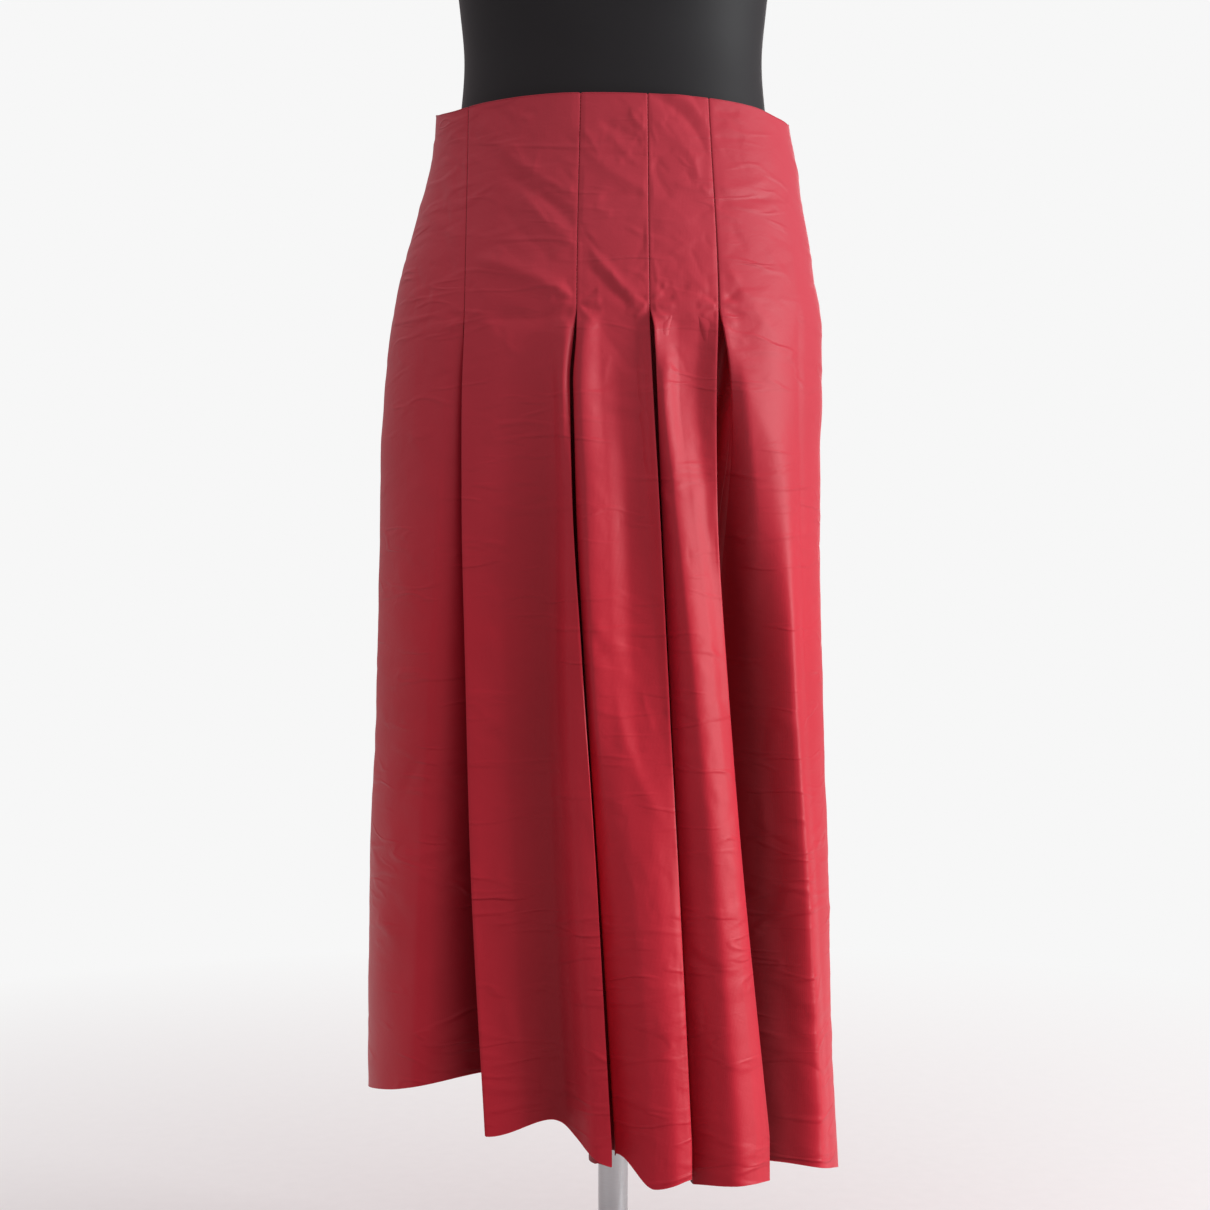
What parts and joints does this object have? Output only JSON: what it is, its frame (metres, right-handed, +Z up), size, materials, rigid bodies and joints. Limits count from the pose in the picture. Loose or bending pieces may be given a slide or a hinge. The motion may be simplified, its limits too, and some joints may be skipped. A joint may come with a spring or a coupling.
{
  "type": "midi skirt on a dress form",
  "caption": "Midi skirt with stitched-down inverted pleats and a slanted hem, standing open on a limbless dress form with a slim pole and round base.",
  "frame": {"origin": "centre of the underside of the round base, on the axis of the pole", "axes": "+Z up along the pole, -Y the front of the skirt, +X the wearer's left"},
  "size_m": [0.3943, 0.36, 1.5093],
  "materials": {
    "cotton_cloth": "fine plain-weave cotton with a slight sheen, strawberry red",
    "zip_tape": "woven tape, dyed to match",
    "zip_metal": "lacquered to match the cloth",
    "form_jersey": "smooth black jersey cover, slight sheen",
    "stand_steel": "satin steel"
  },
  "bodies": {
    "skirt_on_stand": {"back_gore_1": "cotton_cloth", "back_gore_2": "cotton_cloth", "back_gore_3": "cotton_cloth", "back_gore_4": "cotton_cloth", "back_gore_5": "cotton_cloth", "back_gore_6": "cotton_cloth", "front_gore_1": "cotton_cloth", "front_gore_2": "cotton_cloth", "front_gore_3": "cotton_cloth", "front_gore_4": "cotton_cloth", "front_gore_5": "cotton_cloth", "zip_tape": "zip_tape", "zip_slider": "zip_metal", "form_torso": "form_jersey", "neck_cap": "stand_steel", "pole": "stand_steel", "base": "stand_steel"},
    "pull_tab": {"zip_pull": "zip_metal"}
  },
  "joints": [
    {"name": "pull_tab_hinge", "type": "hinge", "parent": "skirt_on_stand", "child": "pull_tab", "pos_m": [0, 0.11077, 1.02021], "axis": [1, 0, 0], "range_deg": [0, 150]}
  ]
}
